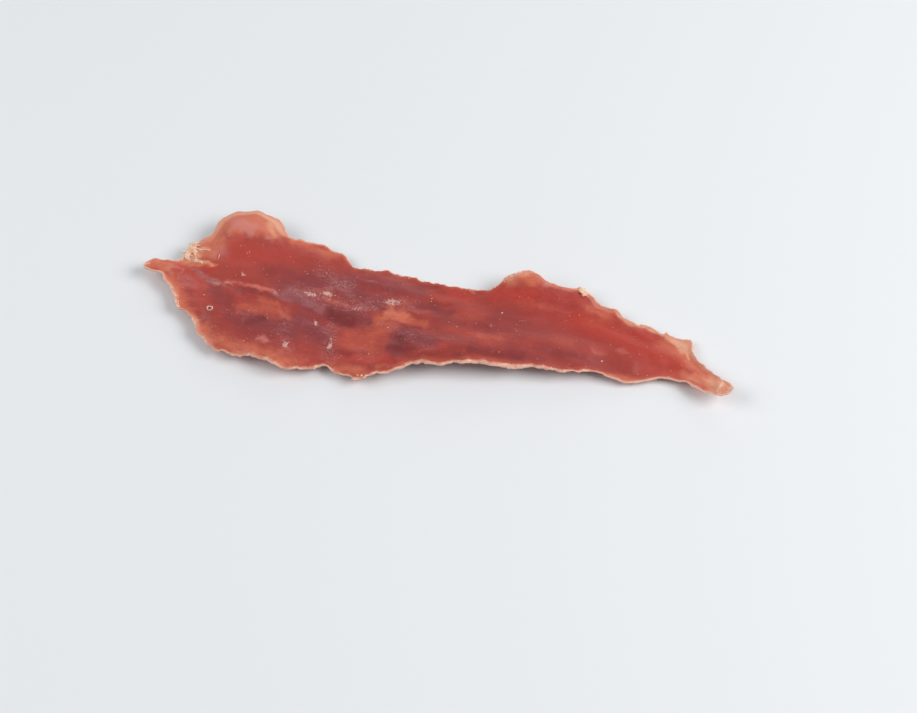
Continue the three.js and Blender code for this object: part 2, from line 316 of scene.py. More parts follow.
        [-76, 0.6, -66, -2.6, 0.9, 1, 0.8],
        [-60, -11, -48, -9, 3, 3, 0.5],
        [-19, -14, -14, -18, 2, 2, 0.6],
        [6, 2, 30, 0, 5, 4, 0.25],
        [50, 8, 62, 5, 4, 4, 0.2],
        [46, 20, 62, 16, 1.5, 1.5, 0.3],
    ],
    "calm": [  # smooth even meat, without streaks or blotches
        [-70, 21, -58, 22, 6, 6, 1.2],
        [-78, 12, -74, 18, 4, 4, 1.0],
        [-78, 6, -60, 6, 5, 5, 0.9],
        [-66, 10, -38, 12, 5, 4, 0.9],
        [-26, -16, -13, -16, 3, 3, 0.8],
        [-92, 0, -80, 0, 4, 5, 1.0],
        [-58, 12, -40, 15, 5, 5, 0.6],
        [-2, 6, 30, 9, 8, 10, 0.55],
        [42, 8, 80, 4, 9, 8, 1.1],
        [80, 4, 92, 0, 6, 5, 1.3],
    ],
}

# Where the dried rim is broad, pale and crumbly: [x, y, reach, width]
PALE_RIMS = [
    [-80.5, 8, 4, 1.6],
    [-77.5, 13, 3, 1.3],
    [-78.6, -10, 3.5, 1.1],
    [-69, -18.5, 4, 1.2],
    [-44, -25, 4, 1.1],
    [2, -14, 9, 0.85],
    [20, -11, 12, 1.1],
    [19.6, 23, 3, 1.4],
    [41.5, 24.5, 2.5, 1.8],
    [48, 20, 4, 0.9],
    [60, 17, 4, 1.1],
    [67, 16.5, 4, 1],
    [77, 15, 3, 1.4],
    [79.6, 10.6, 2.4, 1.1],
    [83, 6.6, 2.4, 1],
    [91, -1, 3, 1.6],
]
NARROW_RIM = 0.55  # the pale rim anywhere else

# Where light shines through the thin rim: [x, y, reach, width, strength]
CREAM_RIMS = [
    [-77.5, 12.2, 3.5, 1.8, 1.0],
    [-75.2, 16, 3.5, 1.8, 1.0],
    [-74, 20, 3, 2, 1.0],
    [-72, 23.2, 3, 2.2, 1.1],
    [-68, 25.3, 4, 1.8, 1.3],
    [-62, 26.3, 4, 1.7, 1.4],
    [-57.5, 25.5, 3, 2.6, 1.7],
    [-54.5, 22.5, 3, 2.8, 1.7],
    [-91.5, 0.5, 2.5, 1.2, 0.6],
    [-83.6, -4.4, 3, 1, 0.9],
    [-79, -9, 3.6, 1.3, 1.1],
    [-74.4, -14.6, 3, 0.8, 0.6],
    [-71, -17.8, 3, 1.7, 1.6],
    [-67.6, -21.4, 2.6, 1.3, 1.0],
    [-64, -23, 4, 1.2, 0.6],
    [-50, -24.6, 8, 1.1, 0.6],
    [-41, -26, 5, 1.2, 0.7],
    [-20, -23.5, 6, 1, 0.6],
    [-50, 21, 4, 0.6, 1.5],
    [-43, 19, 4, 0.6, 1.5],
    [-36.5, 17, 3.4, 0.6, 1.5],
    [18.6, 22, 2.2, 1.8, 1.5],
    [22, 24.6, 2.6, 2.1, 1.8],
    [55, 19.4, 2, 1.9, 3],
    [58, 17.8, 2, 1.9, 3],
    [61.4, 16.8, 1.6, 0.7, 3],
    [64.6, 16.6, 1.8, 1.3, 3],
    [68, 16.4, 1.6, 0.7, 3],
    [71.4, 16.2, 2.4, 1.7, 2.4],
    [75, 15.8, 2.6, 3.6, 1.7],
    [78, 13.6, 2.4, 2.6, 1.6],
    [79.6, 10.6, 2.4, 1.3, 1.4],
    [83, 6.5, 2.6, 1.2, 1.3],
    [87, 3.2, 2.4, 1.6, 1.1],
    [90.5, 0, 3, 2.2, 1.2],
    [87, -3.2, 3, 1.6, 1.0],
    [57, -3.8, 8, 1, 0.6],
]

# Where the thin rim is rosy: [x, y, reach, width, strength]
ROSY_RIMS = [
    [26, 24.4, 2.4, 1.8, 1.2],
    [31, 23.5, 3, 1.8, 1.4],
    [37, 23.8, 3, 1.4, 1.3],
    [44, 23.2, 2, 1.3, 2.4],
    [47, 20.6, 2, 1.6, 3],
    [50.6, 20, 2, 1.4, 3],
    [-49, 21, 6, 1, 0.6],
    [-33, 19.4, 4, 1, 0.7],
    [68, -4, 8, 1.2, 0.5],
]

# Where the rim dried smooth instead of torn: [x, y, reach]
SMOOTH_RIMS = [[-66, 24, 11], [-44, 20, 8], [-92, 0, 7], [33, 24, 8], [70, -2, 16], [82, 6, 6]]
SMOOTH_SHARE = 0.75  # how much of the fraying is missing there

# Where the rim stands out or is nicked: [x, y, reach, move along, move across]
RIM_NICKS = [
    [-91.4, -1.4, 1.2, -0.6, -0.35],
    [-87.8, -2.4, 2.1, 1.1, -0.65],
    [-84.6, -5.4, 1.4, -0.4, -0.1],
    [-90.6, 1.8, 2.2, 0, 0.9],
    [44.4, 21.9, 1.8, -0.25, 0.95],
    [47.6, 20, 1.6, 0.12, -0.5],
    [53.4, 18.2, 3, -0.4, 1.5],
    [58.4, 16.8, 1.8, -0.15, 0.6],
    [62.8, 16, 1.6, -0.2, 0.75],
    [66, 15.6, 1.1, 0.1, -0.4],
    [69.3, 16, 0.75, -0.2, 1.3],
    [76.6, 14.6, 1.5, 0.4, 1.2],
    [77.6, 12.2, 1.1, -0.75, -0.2],
    [78.4, 10.4, 1.3, -0.6, -0.2],
    [79.9, 8.6, 1.4, 0.15, -0.5],
    [82, 6.5, 1.1, 0.2, 0.6],
    [84.8, 4.4, 1.9, 0.2, 0.8],
    [90.4, 1.4, 1.9, 0.2, 0.7],
]

# Folds of the skin: [x, y, x, y, half width, half width, height]
SKIN_FOLDS = [
    [-72, 13, -64, 13.8, 1.4, 1.3, -0.5],  # crease under the broad lobe
    [-64, 13.8, -56, 16.5, 1.2, 1.1, -0.6],
    [-69, 18, -60, 18.5, 3, 3, 0.7],
    [-75, -0.4, -66.8, -2.8, 0.6, 0.5, 0.35],  # edge of the long seam
    [-66, -0.9, -50, -1.1, 0.7, 0.5, 0.4],
    [-62, -3.6, -50, -3, 1.2, 1, -0.35],
    [-30, -4, -22, -5, 2.4, 2, -0.6],  # dark hollow in the middle
    [-13, -2, -20, -9, 2.2, 2.4, 0.4],
    [-9.5, -4, -9, -12, 1.2, 1.2, -0.35],
    [-17, 4.6, -11.6, 6.6, 1.2, 1, 0.3],
    [-28.2, -13.5, -27.6, -17, 0.8, 0.6, -0.2],  # short wrinkle in the belly
    [-66.8, -11.2, -66.5, -11.2, 0.45, 0.4, -0.6],  # pit
    [50, 18, 64, 13.8, 1.8, 1.8, 0.3],  # full meat inside the far rim
    [84.8, 4, 85.6, -3, 0.7, 0.7, -0.3],  # bands across the point
    [87, 3.2, 88, -2.8, 0.6, 0.6, 0.3],
]

# How far the edges of the kinds of meat stray: [size of a swell, seed, reach], in millimetres
EDGE_DRIFTS = [[4, 3, 1.3], [1.4, 19, 0.5]]

places = np.array([vertex.co for vertex in meat.data.vertices]) / MM


def noise_at(size, seed):
    """Two numbers from -1 to 1 for each point, which change over about that many millimetres."""
    shifts = [Vector((seed, 0, 0)), Vector((seed, 40, 0))]
    return np.array([[noise.noise(Vector(place) / size + shift) for shift in shifts] for place in places])


drifted = places[:, :2].copy()
for size, seed, reach in EDGE_DRIFTS:
    drifted += reach * noise_at(size, seed)


def stroke_strength(strokes, spots):
    """How deep each spot lies in the strokes: their strength in the middle, half of it at the edge."""
    total = np.zeros(len(spots))
    for x0, y0, x1, y1, width0, width1, strength in strokes:
        run = np.array([x1 - x0, y1 - y0])
        off = spots - (x0, y0)
        share = np.clip(off @ run / (run @ run), 0, 1)
        gap = np.hypot(*(off - share[:, None] * run).T)
        wide = width0 + (width1 - width0) * share
        total = np.maximum(total, strength * 0.5 ** ((gap / wide) ** 2))
    return total


def rim_points(mesh):
    """Where the upper face turns over into the underside, in millimetres, seen from above."""
    rises = np.array([polygon.normal.z for polygon in mesh.polygons]) > 0
    sides = {}
    for polygon in mesh.polygons:
        for key in polygon.edge_keys:
            sides.setdefault(key, set()).add(bool(rises[polygon.index]))
    ends = {index for key, faces in sides.items() if len(faces) == 2 for index in key}
    return places[sorted(ends)][:, :2]


def distance_from_rim(mesh):
    """How far in from the rim each point lies, seen from above, in millimetres."""
    rim = rim_points(mesh)
    tree = KDTree(len(rim))
    for index, (x, y) in enumerate(rim):
        tree.insert((x, y, 0), index)
    tree.balance()
    return np.array([tree.find((x, y, 0))[2] for x, y, _ in places])


def nearness(x, y, reach):
    """One at the place itself, fading to nothing beyond the reach."""
    return np.exp(-(((places[:, 0] - x) ** 2 + (places[:, 1] - y) ** 2) / reach**2))


def rim_band(spots):
    """How deep each point lies in a band along the rim, whose width and strength change."""
    total, weight = np.zeros(len(places)), np.zeros(len(places))
    for x, y, reach, width, strength in spots:
        near = nearness(x, y, reach)
        total += near * strength * 0.5 ** ((inward / width) ** 2)
        weight += near
    return total / np.maximum(weight, 1)


def keep_with_mesh(mesh, name, values):
    """Store one number for each point, so that the relief and the finish can read it."""
    attribute = mesh.attributes.new(name, "FLOAT", "POINT")
    attribute.data.foreach_set("value", np.asarray(values, np.float32))


for x, y, reach, along, across in RIM_NICKS:
    places[:, :2] += nearness(x, y, reach)[:, None] * (along, across)
for fold in SKIN_FOLDS:
    places[:, 2] += stroke_strength([fold[:6] + [1]], drifted) * fold[6]
places[:, 2] = np.maximum(places[:, 2], 0)
meat.data.vertices.foreach_set("co", (places * MM).astype(np.float32).ravel())

inward = distance_from_rim(meat.data)
rim_width = np.full(len(places), NARROW_RIM)
for x, y, reach, width in PALE_RIMS:
    rim_width = np.maximum(rim_width, NARROW_RIM + (width - NARROW_RIM) * nearness(x, y, reach))
ragged = np.ones(len(places))
for x, y, reach in SMOOTH_RIMS:
    ragged = np.minimum(ragged, 1 - SMOOTH_SHARE * nearness(x, y, reach))
keep_with_mesh(meat.data, "inward", inward)
keep_with_mesh(meat.data, "ragged", ragged)
keep_with_mesh(meat.data, "pale_rim", 1 - inward / rim_width)
keep_with_mesh(meat.data, "cream_rim", rim_band(CREAM_RIMS))
keep_with_mesh(meat.data, "rosy_rim", rim_band(ROSY_RIMS))
for kind, strokes in MEAT_KINDS.items():
    keep_with_mesh(meat.data, kind, stroke_strength(strokes, drifted))


# The finish of the meat: translucent and semi-gloss, red where it is thin and purple where it is thick.
# Every tone ends in a ragged edge along the fibres, and the dried rim is pale and crumbly.


def add_node(tree, kind, settings=None, **inputs):
    """A node with its settings and its inputs, by name or by place, set or linked."""
    made = tree.nodes.new(kind)
    for name, value in (settings or {}).items():
        setattr(made, name, value)
    for name, value in inputs.items():
        socket = made.inputs[int(name[1:])] if name[0] == "_" else made.inputs[name.replace("_", " ")]
        if isinstance(value, bpy.types.NodeSocket):
            tree.links.new(value, socket)
        else:
            socket.default_value = value
    return made


def maths(tree, operation, *values):
    """One step of arithmetic on numbers or on what other nodes give."""
    inputs = {f"_{place}": value for place, value in enumerate(values)}
    return add_node(tree, "ShaderNodeMath", {"operation": operation}, **inputs).outputs[0]


def ranged(tree, value, low, high, start=0.0, end=1.0, **settings):
    """The value, with low taken to start and high to end, and held there beyond them."""
    return add_node(
        tree, "ShaderNodeMapRange", settings, _0=value, _1=low, _2=high, _3=start, _4=end
    ).outputs[0]


def colour(red, green, blue):
    """An 8-bit screen colour as the linear colour that a shader takes."""
    shares = [value / 255 for value in (red, green, blue)]
    return [s / 12.92 if s <= 0.04045 else ((s + 0.055) / 1.055) ** 2.4 for s in shares] + [1]


# How each kind of meat is laid over those before it:
# [kind, screen colour, how ragged its edge is, where it starts, where it is full, how much it covers]
KIND_TONES = [
    ["coral", (195, 85, 73), 0.4, 0.0, 1.1, 0.85],
    ["lean", (140, 62, 64), 0.7, 0.0, 1.0, 0.95],
    # dull grey skin and painted grey sheen
    ["grey_skin_and_sheen", (158, 92, 94), 0.8, 0.1, 1.1, 0.85],
    # dark meat and painted shade
    ["maroon", (118, 40, 41), 0.5, 0.1, 1.0, 0.75],
    ["scarlet", (187, 66, 53), 0.5, 0.0, 1.1, 0.8],
    ["glow", (180, 54, 38), 0.4, 0.0, 1.1, 0.4],
    ["amber", (195, 96, 72), 0.6, 0.0, 1.2, 0.9],
    ["peach", (214, 118, 90), 0.5, 0.0, 1.0, 0.9],
    # pink skin and painted sheen
    ["rose", (212, 132, 120), 0.4, 0.1, 1.0, 0.85],
    ["ivory", (226, 164, 132), 0.4, 0.1, 1.0, 0.9],
    ["rosy_rim", (212, 134, 116), 0.4, 0.1, 0.9, 0.85],
    ["cream_rim", (228, 172, 143), 0.5, 0.1, 1.0, 0.95],
]
# The salt crusts, with the painted white glints on the seam ridge
SALT_CRUST_AND_GLINT_TONE = ["salt_crust_and_glint", (240, 206, 186), 1.4, 0.3, 1.1, 0.85]

# The same for the bands of the dried rim, without a kind
RIM_TONES = [
    [(204, 104, 78), 1.2, -2.4, 0.3, 0.4],
    [(218, 150, 128), 1.0, -0.2, 0.45, 1.0],
    [(234, 190, 168), 2.2, 0.3, 1.0, 1.0],
]


def meat_finish():
    material = bpy.data.materials.new("dried_meat")
    material.use_nodes = True
    tree = material.node_tree
    skin = tree.nodes["Principled BSDF"]
    spot = add_node(tree, "ShaderNodeTexCoord").outputs["Object"]

    def kept(name):
        return add_node(tree, "ShaderNodeAttribute", {"attribute_name": name}).outputs["Fac"]

    def grain(along, across, detail, offset=0.0):
        """Noise from 0 to 1 with this many swells per metre along and across the fibres."""
        stretch = add_node(tree, "ShaderNodeMapping", Vector=spot)
        stretch.inputs["Scale"].default_value = (along, across, across)
        stretch.inputs["Location"].default_value = (offset, 0, 0)
        pattern = add_node(tree, "ShaderNodeTexNoise", Vector=stretch.outputs[0], Scale=1.0, Detail=detail)
        return pattern.outputs["Fac"]

    def ramp(value, low, high, start=0.0, end=1.0):
        return ranged(tree, value, low, high, start, end, interpolation_type="SMOOTHSTEP")

    def sums(operation, *values):
        return maths(tree, operation, *values)

    def layered(under, over, share):
        return add_node(tree, "ShaderNodeMix", {"data_type": "RGBA"}, _0=share, _6=under, _7=over).outputs[2]

    def around_zero(pattern, amount):
        return sums("MULTIPLY", sums("SUBTRACT", pattern, 0.5), amount)

    broad = grain(80, 170, detail=4)
    streaks = grain(110, 800, detail=4, offset=3)
    mottle = grain(330, 560, detail=4, offset=7)
    fine = grain(1000, 2000, detail=3, offset=23)
    torn = kept("ragged")
    pale = kept("pale_rim")
    rough = ramp(kept("calm"), 0.1, 0.9, 1.0, 0.36)

    def frayed(value, amount):
        """The value with its edges broken up along the fibres, less so where the meat is calm."""
        ragged = sums("ADD", around_zero(mottle, amount), around_zero(fine, sums("MULTIPLY", amount, 0.5)))
        return sums("ADD", value, sums("MULTIPLY", ragged, rough))

    def with_kind(under, name, over, fray, low, high, most):
        """The tone with one kind of meat laid over it, in its place."""
        return layered(under, colour(*over), ramp(frayed(kept(name), fray), low, high, 0.0, most))

    def with_rim(under, over, fray, low, high, most):
        """The tone with a band of the dried rim laid over it, ragged where the rim is torn."""
        share = ramp(frayed(pale, sums("MULTIPLY", torn, fray)), low, high, 0.0, most)
        return layered(under, colour(*over), share)

    patches = sums("ADD", 0.5, sums("MULTIPLY", sums("SUBTRACT", ramp(broad, 0.3, 0.7), 0.5), rough))
    tone = layered(colour(162, 63, 56), colour(175, 73, 62), patches)
    streaked = sums("MULTIPLY", ramp(streaks, 0.4, 0.8, 0.0, 0.4), rough)
    tone = layered(tone, colour(148, 62, 60), streaked)
    for row in KIND_TONES:
        tone = with_kind(tone, *row)
    for row in RIM_TONES:
        tone = with_rim(tone, *row)
    # salt crusts and painted glints, laid over all the rest
    tone = with_kind(tone, *SALT_CRUST_AND_GLINT_TONE)

    # Pale salt and fibre lines in the dusty, crinkled skin; over the purple meat they also stand for a
    # painted misty sheen.
    dusty = frayed(kept("dust"), 1.0)
    wrinkles = sums("ABSOLUTE", sums("SUBTRACT", grain(700, 1300, detail=4, offset=31), 0.5))
    salt = sums("MULTIPLY", ramp(wrinkles, 0.0, 0.05, 1.0, 0.0), ramp(dusty, 0.2, 1.2))
    tone = layered(tone, colour(196, 136, 134), sums("MULTIPLY", salt, 0.55))
    threads = sums("ABSOLUTE", sums("SUBTRACT", grain(90, 1500, detail=2, offset=43), 0.5))
    fibre_lines = sums("MULTIPLY", ramp(threads, 0.0, 0.03, 1.0, 0.0), ramp(dusty, 0.1, 0.9))
    tone = layered(tone, colour(190, 124, 122), sums("MULTIPLY", fibre_lines, 0.35))
    shade = sums("ADD", sums("MULTIPLY", mottle, 0.28), sums("MULTIPLY", fine, 0.22))
    shade = sums("ADD", 1.01, sums("MULTIPLY", sums("SUBTRACT", shade, 0.25), rough))
    tone = add_node(
        tree, "ShaderNodeMix", {"data_type": "RGBA", "blend_type": "MULTIPLY"},
        _0=1.0, _6=tone, _7=shade,
    ).outputs[2]
    tree.links.new(tone, skin.inputs["Base Color"])

    gloss = ramp(grain(240, 500, detail=3, offset=13), 0.3, 0.7, 0.34, 0.5)
    dull = sums("ADD", sums("MULTIPLY", salt, 0.2), ramp(pale, -0.2, 0.6, 0.0, 0.25))
    tree.links.new(sums("ADD", gloss, dull), skin.inputs["Roughness"])
    skin.inputs["Subsurface Weight"].default_value = 0.45
    skin.inputs["Subsurface Radius"].default_value = (1.0, 0.32, 0.2)
    skin.inputs["Subsurface Scale"].default_value = 1.2 * MM
    skin.inputs["Specular IOR Level"].default_value = 0.37

    pores = grain(1500, 1800, detail=3, offset=19)
    pebbles = sums("ADD", sums("MULTIPLY", streaks, 0.4), sums("MULTIPLY", pores, 0.6))
    crust = sums("MULTIPLY", fine, ramp(pale, 0.0, 0.4, 0.0, 1.5))
    bump = add_node(
        tree, "ShaderNodeBump", Strength=0.4, Distance=0.25 * MM, Height=sums("ADD", pebbles, crust)
    )
    tree.links.new(bump.outputs[0], skin.inputs["Normal"])
    return material


# Drying leaves its own relief: fibre bundles stand up along the grain, the skin puckers near the rim,
# and the rim itself frays and ruffles. The wavy offsets near the rim are the same for both faces.


def node_group(name, sizes):
    """An empty tree that takes a mesh and the named sizes, and gives a mesh."""
    tree = bpy.data.node_groups.new(name, "GeometryNodeTree")
    tree.interface.new_socket("Geometry", in_out="INPUT", socket_type="NodeSocketGeometry")
    tree.interface.new_socket("Geometry", in_out="OUTPUT", socket_type="NodeSocketGeometry")
    for size in sizes:
        tree.interface.new_socket(size, in_out="INPUT", socket_type="NodeSocketFloat")
    return tree, tree.nodes.new("NodeGroupInput"), tree.nodes.new("NodeGroupOutput")


def give_result(tree, result, shape, material):
    """End the tree: real mesh everywhere, in the one finish."""
    real = add_node(tree, "GeometryNodeRealizeInstances", _0=shape).outputs[0]
    finished = add_node(tree, "GeometryNodeSetMaterial", Geometry=real, Material=material).outputs[0]
    tree.links.new(finished, result.inputs[0])


def attribute_of(tree, name):
    return add_node(tree, "GeometryNodeInputNamedAttribute", _0=name).outputs[0]


def run_nodes(piece, tree, sizes):
    """Give the piece the tree's result, with its sizes set."""
    worker = piece.modifiers.new(tree.name, "NODES")
    worker.node_group = tree
    for socket in tree.interface.items_tree:
        if socket.in_out == "INPUT" and socket.name in sizes:
            worker[socket.identifier] = sizes[socket.name]
    return made_plain(piece)


RELIEF_SIZES = {
    "Bundle height": 0.3 * MM,
    "Fibre height": 0.07 * MM,
    "Pucker height": 0.16 * MM,
    "Ruffle height": 0.5 * MM,
    "Fray depth": 0.42 * MM,
}
RIM_REACH = {"puckers": 4.0, "ruffles": 5.0, "fraying": 1.1}  # how far in from the rim, in millimetres
FRAY_SWELLS = [[420, 1.0, 0.0], [1100, 0.45, 7.0]]  # [swells per metre, share of the depth, seed]


def drying_relief(material):
    tree, given, result = node_group("drying_relief", RELIEF_SIZES)
    spot = add_node(tree, "GeometryNodeInputPosition").outputs[0]
    normal = add_node(tree, "GeometryNodeInputNormal").outputs[0]
    inward_mm = attribute_of(tree, "inward")
    torn = attribute_of(tree, "ragged")
    calm = attribute_of(tree, "calm")

    def vectors(operation, first, second):
        return add_node(
            tree, "ShaderNodeVectorMath", {"operation": operation}, _0=first, _1=second
        ).outputs[0]

    def scaled(vector, factor):
        return add_node(
            tree, "ShaderNodeVectorMath", {"operation": "SCALE"}, _0=vector, Scale=factor
        ).outputs[0]

    def evened(pattern):
        """The noise's usual range of a quarter to three quarters, taken to -1 to 1."""
        return ranged(tree, pattern.outputs[0], 0.25, 0.75, -1.0, 1.0, clamp=False)

    def wander(along, across, seed):
        """Noise from -1 to 1 with this many swells per metre along and across the fibres."""
        place = vectors("ADD", vectors("MULTIPLY", spot, (along, across, across)), (seed, seed, seed))
        return evened(add_node(tree, "ShaderNodeTexNoise", Vector=place, Scale=1.0, Detail=2.0))

    def near_rim(reach):
        """One at the rim, about a third at the reach, in millimetres, and nothing well inside."""
        return maths(tree, "EXPONENT", maths(tree, "DIVIDE", inward_mm, -reach))

    def times(first, second):
        return maths(tree, "MULTIPLY", first, second)

    lively = ranged(tree, calm, 0.0, 1.0, 1.0, 0.2)
    bundles = times(wander(60, 170, seed=5), given.outputs["Bundle height"])
    fibres = times(wander(160, 620, seed=11), given.outputs["Fibre height"])
    puckers = times(wander(330, 330, seed=23), given.outputs["Pucker height"])
    puckers = times(puckers, near_rim(RIM_REACH["puckers"]))
    outwards = maths(tree, "MULTIPLY_ADD", maths(tree, "ADD", bundles, fibres), lively, puckers)
    moved = scaled(normal, outwards)

    flat = vectors("MULTIPLY", spot, (1, 1, 0))
    ruffle = evened(add_node(tree, "ShaderNodeTexNoise", Vector=flat, Scale=120.0, Detail=1.0))
    lift = times(times(ruffle, given.outputs["Ruffle height"]), near_rim(RIM_REACH["ruffles"]))
    moved = vectors("ADD", moved, add_node(tree, "ShaderNodeCombineXYZ", _2=lift).outputs[0])

    for swells, share, seed in FRAY_SWELLS:
        place = vectors("ADD", scaled(flat, swells), (seed, seed, seed))
        tear = add_node(tree, "ShaderNodeTexNoise", Vector=place, Scale=1.0, Detail=1.0)
        sideways = vectors("SUBTRACT", tear.outputs[1], (0.5, 0.5, 0.5))
        sideways = vectors("MULTIPLY", sideways, (4 * share, 4 * share, 0))  # a quarter each way, made one
        reach = times(times(given.outputs["Fray depth"], torn), near_rim(RIM_REACH["fraying"]))
        moved = vectors("ADD", moved, scaled(sideways, reach))

    shifted = add_node(
        tree, "GeometryNodeSetPosition", Geometry=given.outputs["Geometry"], Offset=moved
    ).outputs[0]
    above = add_node(tree, "GeometryNodeInputPosition").outputs[0]
    lying = add_node(
        tree, "GeometryNodeSetPosition", Geometry=shifted, Position=vectors("MAXIMUM", above, (-1, -1, 0))
    ).outputs[0]
    give_result(tree, result, lying, material)
    return tree


meat = run_nodes(meat, drying_relief(meat_finish()), RELIEF_SIZES)
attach(meat, "root")
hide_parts("strip")


# The torn edge: dry cream flakes and fibres that stand out where the slice was pulled apart, mostly in
# the notch beside the broad lobe. They are rooted in the rim of the meat and lie over each other.

TORN_CRUMBS = [  # along a line: [x, y, x, y, how many, spread, half size, height over the skin]
    [-79.9, 10.3, -80.4, 9.0, 6, 0.2, 1.4, 0.3],
    [-80.7, 8.4, -80.9, 6.4, 7, 0.25, 1.2, 0.2],
    [-79.2, 8.6, -78.6, 7.4, 5, 0.2, 0.9, 0.0],
    [-81.0, 6.0, -80.0, 5.2, 6, 0.2, 0.8, 0.1],
    [-79.8, 5.1, -76.8, 4.3, 10, 0.12, 0.55, 0.1],
    [-76.8, 4.3, -73.4, 3.7, 10, 0.1, 0.38, 0.05],
    [-79.8, 8.7, -77.4, 8.7, 8, 0.2, 0.42, 0.1],
    [-79.8, 10.9, -81.4, 6.6, 70, 0.5, 0.3, 0.9],
    [-80.4, 6.2, -76.8, 4.3, 40, 0.35, 0.24, 0.6],
    [-76.8, 4.3, -73.2, 3.7, 28, 0.2, 0.18, 0.4],
    [-68.8, 25.4, -66.4, 25.8, 9, 0.2, 0.28, 0.1],
    [-57.8, 25.0, -56.2, 25.6, 8, 0.15, 0.26, 0.2],
    [18.4, 21.4, 22.8, 24.2, 30, 0.25, 0.26, 0.1],
    [40.6, 24.2, 41.9, 23.0, 12, 0.2, 0.85, 0.2],
    [40.4, 24.6, 42.6, 22.2, 24, 0.35, 0.26, 0.5],
    [-79.4, -9.6, -77.4, -13.0, 22, 0.3, 0.34, 0.1],
    [74.0, 17.2, 78.4, 15.2, 24, 0.25, 0.24, 0.0],
    [69.0, 16.4, 69.8, 17.2, 8, 0.15, 0.3, 0.0],
    [62.0, 17.2, 65.0, 16.8, 16, 0.2, 0.2, 0.0],
    [50.0, 20.8, 52.4, 20.0, 14, 0.2, 0.22, 0.0],
    [90.6, -1.4, 94.0, 0.4, 22, 0.35, 0.28, 0.1],
    [-18.0, -22.6, -14.0, -22.2, 12, 0.2, 0.22, 0.0],
]
TORN_STRANDS = [  # [half width, then points of x, y and height over the skin]
    [0.17, (-78.0, 8.4, 0.1), (-76.2, 8.7, 0.2), (-74.8, 8.7, 0.1), (-73.4, 8.6, -0.1)],
    [0.3, (-80.0, 6.6, 0.4), (-81.6, 6.9, 0.5), (-82.4, 7.0, 0.5), (-83.2, 7.1, 0.4)],
    [0.22, (-79.6, 9.4, 0.4), (-78.6, 9.9, 0.6), (-77.6, 9.8, 0.3)],
    [0.12, (-79.2, 7.4, 0.4), (-78.4, 6.4, 0.5), (-77.6, 5.4, 0.4), (-76.6, 4.8, 0.1)],
    [0.12, (-70.4, 7.4, 0.0), (-70.3, 6.6, 0.2), (-70.4, 5.8, 0.0)],
]
STRAND_SIDES = 6
STRAND_STEPS = 5  # rings from one point of a strand to the next
LARGE_CRUMB = 0.5  # the half size over which a crumb gets a finer skin
OVER_ALL = 20  # a height over all of the meat
MIDDLE_HEIGHT = 5  # about halfway up the waves

skin_tree = BVHTree.FromPolygons(
    [vertex.co for vertex in meat.data.vertices], [list(polygon.vertices) for polygon in meat.data.polygons]
)


def skin_under(x, y):
    """The highest point of the meat at (x, y), in metres, or nothing where there is no meat."""
    return skin_tree.ray_cast(Vector((x, y, OVER_ALL)) * MM, Vector((0, 0, -1)))[0]


def on_skin(x, y):
    """The same point in millimetres, or the nearest point of the meat where there is none."""
    return (skin_under(x, y) or skin_tree.find_nearest(Vector((x, y, MIDDLE_HEIGHT)) * MM)[0]) / MM


def add_lump(shape, middle, half_sizes, turn, fineness, roughness):
    """A closed uneven lump: a ball that is stretched, dented and turned."""
    made = bmesh.ops.create_icosphere(shape, subdivisions=fineness, radius=1)["verts"]
    spin = Euler([float(angle) for angle in turn]).to_matrix()
    for vertex in made:
        swell = noise.noise(vertex.co * 1.3 + middle * 3) + 0.5 * noise.noise(vertex.co * 3.4 + middle * 5)
        dent = 1 + roughness * swell
        stretched = Vector([reach * part * dent for reach, part in zip(half_sizes, vertex.co)])
        vertex.co = (middle + spin @ stretched) * MM


def add_strand(shape, points, half_width):
    """A thin fibre on a smooth curve through the points, closed to a point at both ends."""
    knots = [2 * points[0] - points[1], *points, 2 * points[-1] - points[-2]]
    path = []
    for before, start, end, after in zip(knots, knots[1:], knots[2:], knots[3:]):
        for t in np.arange(STRAND_STEPS) / STRAND_STEPS:
            bend = 2 * before - 5 * start + 4 * end - after
            twist = 3 * start - before - 3 * end + after
            path.append((2 * start + (end - before) * t + bend * t**2 + twist * t**3) / 2)
    path.append(points[-1])
    rings = []
    for index, middle in enumerate(path[1:-1], 1):
        along = (path[index + 1] - path[index - 1]).normalized()
        across = along.cross(Vector((0, 0, 1))).normalized()
        up = across.cross(along)
        swell = math.sin(math.pi * index / (len(path) - 1)) ** 0.5
        reach = half_width * swell * (1 + 0.8 * noise.noise(middle * 2.5))
        turns = [math.tau * side / STRAND_SIDES for side in range(STRAND_SIDES)]
        rings.append([
            shape.verts.new((middle + reach * (across * math.cos(turn) + up * math.sin(turn))) * MM)
            for turn in turns
        ])
    root, tip = [shape.verts.new(path[place] * MM) for place in (0, -1)]
    for side in range(STRAND_SIDES):
        beside = (side + 1) % STRAND_SIDES
        shape.faces.new((root, rings[0][beside], rings[0][side]))
        shape.faces.new((tip, rings[-1][side], rings[-1][beside]))
        for near, far in zip(rings, rings[1:]):
            shape.faces.new((near[side], near[beside], far[beside], far[side]))


def finished_piece(name, shape, material):
    """The shape as a piece of its own, smooth, with its faces turned outwards."""
    bmesh.ops.recalc_face_normals(shape, faces=shape.faces)
    mesh = bpy.data.meshes.new(name)
    shape.to_mesh(mesh)
    shape.free()
    mesh.shade_smooth()
    mesh.materials.append(material)
    return in_scene(name, mesh)


